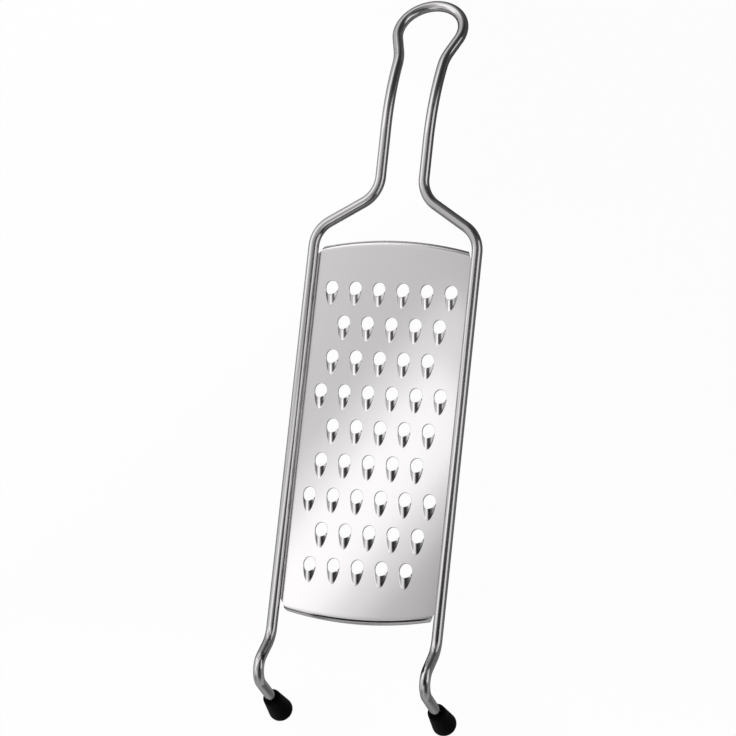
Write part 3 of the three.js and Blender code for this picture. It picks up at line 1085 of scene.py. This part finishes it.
# Dark cards: corners, and tones at the two ends of their span along Y
CARDS = {
    "camera_gap": (((0.003, -0.25, 0.20), (0.046, 0.30, 0.20),
                    (0.327, 0.30, 0.265), (0.327, -0.25, 0.265)), 0.05, 0.6),
    "lip_flag": (((-0.037, -0.163, 0.033), (0.039, -0.163, 0.033),
                  (0.039, -0.163, 0.055), (-0.037, -0.163, 0.055)), 0.03, 0.03),
}
CARD_SPAN = (-0.22, 0.05)
# The camera's sensor in millimetres, and its range
SENSOR_WIDTH = 36.0
NEAREST = 0.05
FURTHEST = 50.0


def panel(nodes, across, along, box):
    """1 in a soft-edged rectangle of two values, from (left, right, low, high, softness)."""
    left, right, low, high, soft = box
    wide = nodes.times(nodes.ramp(across, left - soft, left + soft),
                       nodes.ramp(across, right - soft, right + soft, 1.0, 0.0))
    tall = nodes.times(nodes.ramp(along, low - soft, low + soft),
                       nodes.ramp(along, high - soft, high + soft, 1.0, 0.0))
    return nodes.times(wide, tall)


def darkened(nodes, tone, across, along, patches):
    """Tone with some patches of its surface held back."""
    for box, level in patches:
        held = nodes.times(panel(nodes, across, along, box), level)
        tone = nodes.times(tone, nodes.minus(1.0, held))
    return tone


def floor_material(stage):
    """Pale paper that is white to the camera and takes a shadow, with painted light and shade that metal
    mirrors.
    """
    material, nodes, shader = new_material("pale_paper", {"Roughness": PAPER_ROUGHNESS})
    x, y, _ = nodes.axes(nodes.place())
    # Painted light to the left and in front, painted shade to the back right and right of the handle
    pale = nodes.plus(nodes.ramp(nodes.minus(y, x), *PAINTED_LIGHT_LEFT), FLOOR_TONE)
    pale = nodes.times(pale, nodes.ramp(nodes.plus(x, y), *PAINTED_SHADE_BACK_RIGHT))
    handle_light_and_shade = nodes.minus(nodes.ramp(x, *HANDLE_PAINTED_LIGHT_AND_SHADE), 1.0)
    handle_light_and_shade = nodes.times(handle_light_and_shade, nodes.ramp(y, *HANDLE_START))
    pale = nodes.times(pale, nodes.plus(handle_light_and_shade, 1.0))
    pale = nodes.plus(pale, nodes.ramp(y, *PAINTED_LIGHT_FRONT))
    # Painted shade on the floor right of each foot
    pale = darkened(nodes, pale, x, y, PAINTED_SHADE_BY_FEET)
    nodes.feed(shader.inputs["Base Color"], nodes.grey(pale))
    seen = nodes.times(nodes.shown(), stage.floor_glow)
    mirrored = nodes.times(nodes.ray("Glossy"), stage.floor_mirror)
    mix = nodes.add("ShaderNodeMixShader", {"Fac": nodes.math("MAXIMUM", seen, mirrored)})
    nodes.feed(mix.inputs[1], shader.outputs["BSDF"])
    nodes.feed(mix.inputs[2], nodes.out("ShaderNodeEmission", {"Color": WHITE}))
    nodes.feed(material.node_tree.nodes["Material Output"].inputs["Surface"], mix.outputs["Shader"])
    return material


def studio_world():
    """Grey studio room with darker and brighter parts that metal mirrors, white to the camera."""
    world = bpy.data.worlds.new("studio_room")
    world.use_nodes = True
    nodes = Nodes(world.node_tree)
    x, y, z = nodes.axes(nodes.place("Generated"))
    degrees = nodes.over(nodes.math("ARCCOSINE", z), math.radians(1))
    lean = nodes.math("SQRT", nodes.minus(1.0, nodes.times(z, z)))
    lean = nodes.math("MAXIMUM", lean, LEAST_LEAN)
    across = nodes.times(nodes.over(x, lean), degrees)
    along = nodes.times(nodes.over(y, lean), degrees)
    lit = darkened(nodes, nodes.ramp(across, *ROOM_LIGHT), across, along, DARK_CORNERS)
    for box, level in SOFT_CORNERS:
        lit = nodes.plus(lit, nodes.times(panel(nodes, across, along, box), level))
    light = {"Factor": nodes.shown(), "A": lit, "B": ROOM_WHITE}
    light = nodes.add("ShaderNodeMix", light, data_type="FLOAT").outputs["Result"]
    background = world.node_tree.nodes["Background"]
    nodes.feed(background.inputs["Strength"], light)
    background.inputs["Color"].default_value = WHITE
    return world


def aimed(place, up, back):
    """Matrix at a place with its Y up and its Z back."""
    axes = Matrix((up.cross(back), up, back)).transposed()
    return Matrix.Translation(place) @ axes.to_4x4()


def soft_box(name, place, facing, along, width, length, power):
    """Rectangular lamp at a place, which faces one way and has its length along another."""
    data = bpy.data.lights.new(name, "AREA")
    data.shape = "RECTANGLE"
    data.size, data.size_y = width, length
    data.energy = power
    lamp = bpy.data.objects.new(name, data)
    lamp.matrix_world = aimed(place, unit(Vector(along)), -unit(Vector(facing)))
    lamp.visible_camera = False
    bpy.context.scene.collection.objects.link(lamp)


def dark_card(name, corners, low, high):
    """Card beside the set, which the camera doesn't see, with a tone that changes along the set."""
    card = new_object(name, corners, [(0, 1, 2, 3)])
    material, nodes, shader = new_material("grey_card", {"Roughness": PAPER_ROUGHNESS})
    tone = nodes.ramp(nodes.axes(nodes.place())["Y"], *CARD_SPAN, low, high)
    nodes.feed(shader.inputs["Base Color"], nodes.grey(tone))
    card.data.materials.append(material)
    card.visible_camera = False


def add_floor(stage):
    """Square floor under the grater."""
    half = stage.floor_size / 2
    corners = [(x * half, y * half, -FLOOR_GAP) for x, y in ((-1, -1), (1, -1), (1, 1), (-1, 1))]
    floor = new_object("pale_floor", corners, [(0, 1, 2, 3)])
    floor.data.materials.append(floor_material(stage))


def add_camera(stage):
    """Camera at its place, which looks at its aim with the picture turned by its roll."""
    camera = bpy.data.objects.new("camera", bpy.data.cameras.new("camera"))
    camera.data.lens = stage.lens
    camera.data.sensor_width = SENSOR_WIDTH
    camera.data.clip_start = NEAREST
    camera.data.clip_end = FURTHEST
    place = Vector(stage.camera_place)
    back = unit(place - Vector(stage.camera_aim))
    up = Vector((0, 1, 0))
    up = unit(up - back * up.dot(back))
    right = up.cross(back)
    tilted_up = up * math.cos(stage.camera_roll) + right * math.sin(stage.camera_roll)
    camera.matrix_world = aimed(place, tilted_up, back)
    bpy.context.scene.collection.objects.link(camera)
    bpy.context.scene.camera = camera


class GRATER_OT_stage(Operator):
    """Sets up the pale floor, the studio light and the camera"""

    bl_idname = "grater.stage"
    bl_label = "Stage"

    def execute(self, context):
        scene = context.scene
        add_floor(scene.grater_stage)
        scene.world = studio_world()
        for name, lamp in LAMPS.items():
            soft_box(name, *lamp)
        for name, card in CARDS.items():
            dark_card(name, *card)
        add_camera(scene.grater_stage)
        scene.view_settings.view_transform = "Standard"
        return {"FINISHED"}


class GRATER_PT_panel(Panel):
    """Lists the sizes and finishes, and the steps that build the grater"""

    bl_idname = "GRATER_PT_panel"
    bl_label = "Coarse Grater"
    bl_space_type = "VIEW_3D"
    bl_region_type = "UI"
    bl_category = "Grater"

    def draw(self, context):
        for group in GROUPS:
            box = self.layout.box()
            values = getattr(context.scene, group)
            for name in values.__annotations__:
                box.prop(values, name)
        for step in STEPS:
            self.layout.operator(step)


STEPS = ("grater.wire_frame", "grater.grating_plate", "grater.rubber_feet", "grater.stage")
GROUPS = {
    "grater_wire": GraterWire,
    "grater_plate": GraterPlate,
    "grater_feet": GraterFeet,
    "grater_finish": GraterFinish,
    "grater_stage": GraterStage,
}
CLASSES = (
    *GROUPS.values(),
    GRATER_OT_wire_frame,
    GRATER_OT_grating_plate,
    GRATER_OT_rubber_feet,
    GRATER_OT_stage,
    GRATER_PT_panel,
)


def register():
    for cls in CLASSES:
        bpy.utils.register_class(cls)
    for name, group in GROUPS.items():
        setattr(bpy.types.Scene, name, PointerProperty(type=group))


def unregister():
    for name in GROUPS:
        delattr(bpy.types.Scene, name)
    for cls in reversed(CLASSES):
        bpy.utils.unregister_class(cls)


def main():
    register()
    bpy.ops.grater.wire_frame()
    bpy.ops.grater.grating_plate()
    bpy.ops.grater.rubber_feet()
    bpy.ops.grater.stage()


if __name__ == "__main__":
    main()
